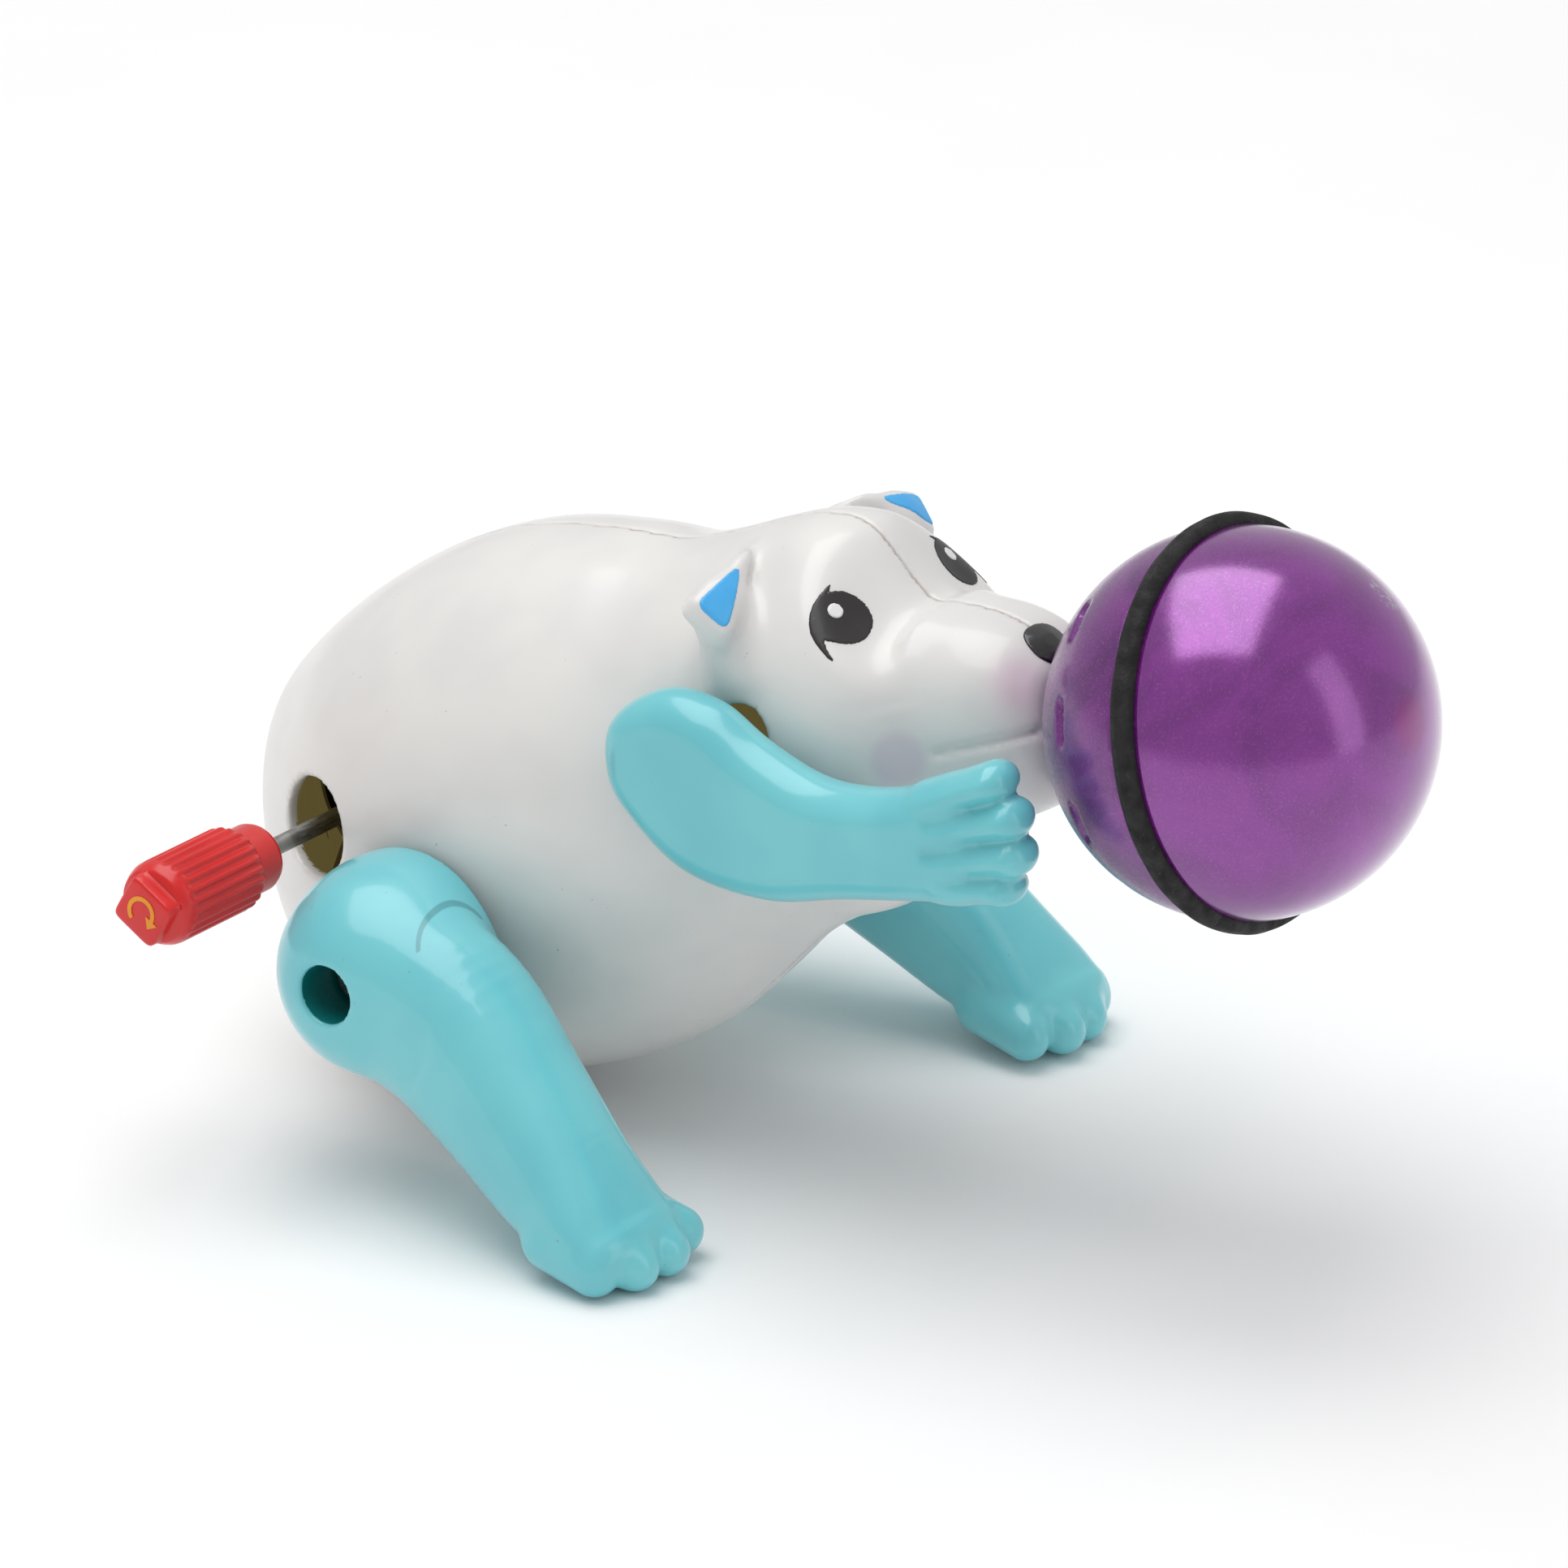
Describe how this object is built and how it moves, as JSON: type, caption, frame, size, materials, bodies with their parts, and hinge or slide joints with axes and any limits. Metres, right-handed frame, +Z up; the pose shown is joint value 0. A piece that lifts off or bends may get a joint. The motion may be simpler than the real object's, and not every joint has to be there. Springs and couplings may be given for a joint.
{
  "type": "wind-up toy bear",
  "caption": "Wind-up toy polar bear with jointed arms and legs and a side key; a spring motor spins the rubber-ringed ball on a shaft in front of its muzzle.",
  "frame": {"origin": "middle of the flat under the rump, on the mid-plane, level with the soles", "axes": "+X forwards from rump to ball, +Y to the bear's left, +Z up from the floor"},
  "size_m": [0.0965, 0.0662, 0.0545],
  "materials": {
    "white_shell": "satin gloss",
    "blue_limb": "gloss",
    "purple_ball": "translucent pearl gloss",
    "black_ring": "matte",
    "red_key": "gloss",
    "steel": "drawn wire and turned steel",
    "motor_plastic": "moulded, matte",
    "screw_steel": "plated"
  },
  "bodies": {
    "body": {"body_shell_right": "white_shell", "body_shell_left": "white_shell", "shell_screws": "screw_steel", "muzzle_bush": "motor_plastic", "shoulder_axle": "steel", "hip_axle": "steel", "hip_screws": "screw_steel", "motor_plate_right": "motor_plastic", "motor_plate_left": "motor_plastic", "motor_pillars": "motor_plastic", "shaft_bracket": "motor_plastic", "mainspring": "steel"},
    "arm_right": {"arm_right": "blue_limb"},
    "arm_left": {"arm_left": "blue_limb"},
    "leg_right": {"leg_right": "blue_limb"},
    "leg_left": {"leg_left": "blue_limb"},
    "ball": {"ball_rear_shell": "purple_ball", "ball_front_shell": "purple_ball", "ball_ring": "black_ring", "ball_shaft": "steel", "ball_pinion": "motor_plastic"},
    "key": {"key_shaft": "steel", "key_knob": "red_key", "great_wheel": "motor_plastic", "ratchet_wheel": "steel", "ratchet_click": "steel"},
    "second": {"second_wheel": "motor_plastic", "second_arbor": "steel"},
    "crown": {"crown_wheel": "motor_plastic", "third_wheel": "motor_plastic", "crown_arbor": "steel"},
    "governor": {"governor": "motor_plastic", "governor_arbor": "steel"}
  },
  "joints": [
    {"name": "key_turn", "type": "hinge", "parent": "body", "child": "key", "pos_m": [-0.00223, 0, 0.02151], "axis": [0, 1, 0], "continuous": true},
    {"name": "second_spin", "type": "hinge", "parent": "body", "child": "second", "pos_m": [0.00511, 0, 0.0283], "axis": [0, 1, 0], "continuous": true},
    {"name": "crown_spin", "type": "hinge", "parent": "body", "child": "crown", "pos_m": [0.01458, 0, 0.02759], "axis": [0, 1, 0], "continuous": true},
    {"name": "governor_spin", "type": "hinge", "parent": "body", "child": "governor", "pos_m": [0.01678, 0, 0.01886], "axis": [0, 1, 0], "continuous": true},
    {"name": "ball_spin", "type": "hinge", "parent": "body", "child": "ball", "pos_m": [0.066, 0, 0.0405], "axis": [0.9699, 0, 0.2436], "continuous": true},
    {"name": "arm_right_swing", "type": "hinge", "parent": "body", "child": "arm_right", "pos_m": [0.02953, -0.0148, 0.03423], "axis": [0, -1, 0], "range_deg": [-60, 40]},
    {"name": "arm_left_swing", "type": "hinge", "parent": "body", "child": "arm_left", "pos_m": [0.02953, 0.0148, 0.03423], "axis": [0, -1, 0], "range_deg": [-60, 40]},
    {"name": "leg_right_swing", "type": "hinge", "parent": "body", "child": "leg_right", "pos_m": [0.00923, -0.023, 0.01613], "axis": [0, -1, 0], "range_deg": [-60, 90]},
    {"name": "leg_left_swing", "type": "hinge", "parent": "body", "child": "leg_left", "pos_m": [0.00923, 0.023, 0.01613], "axis": [0, -1, 0], "range_deg": [-60, 90]}
  ],
  "couplings": [
    {"joint": "key_turn", "follows": "ball_spin", "ratio": -0.027778},
    {"joint": "second_spin", "follows": "ball_spin", "ratio": 0.11111},
    {"joint": "crown_spin", "follows": "ball_spin", "ratio": -0.41667},
    {"joint": "governor_spin", "follows": "ball_spin", "ratio": 1.4583}
  ]
}
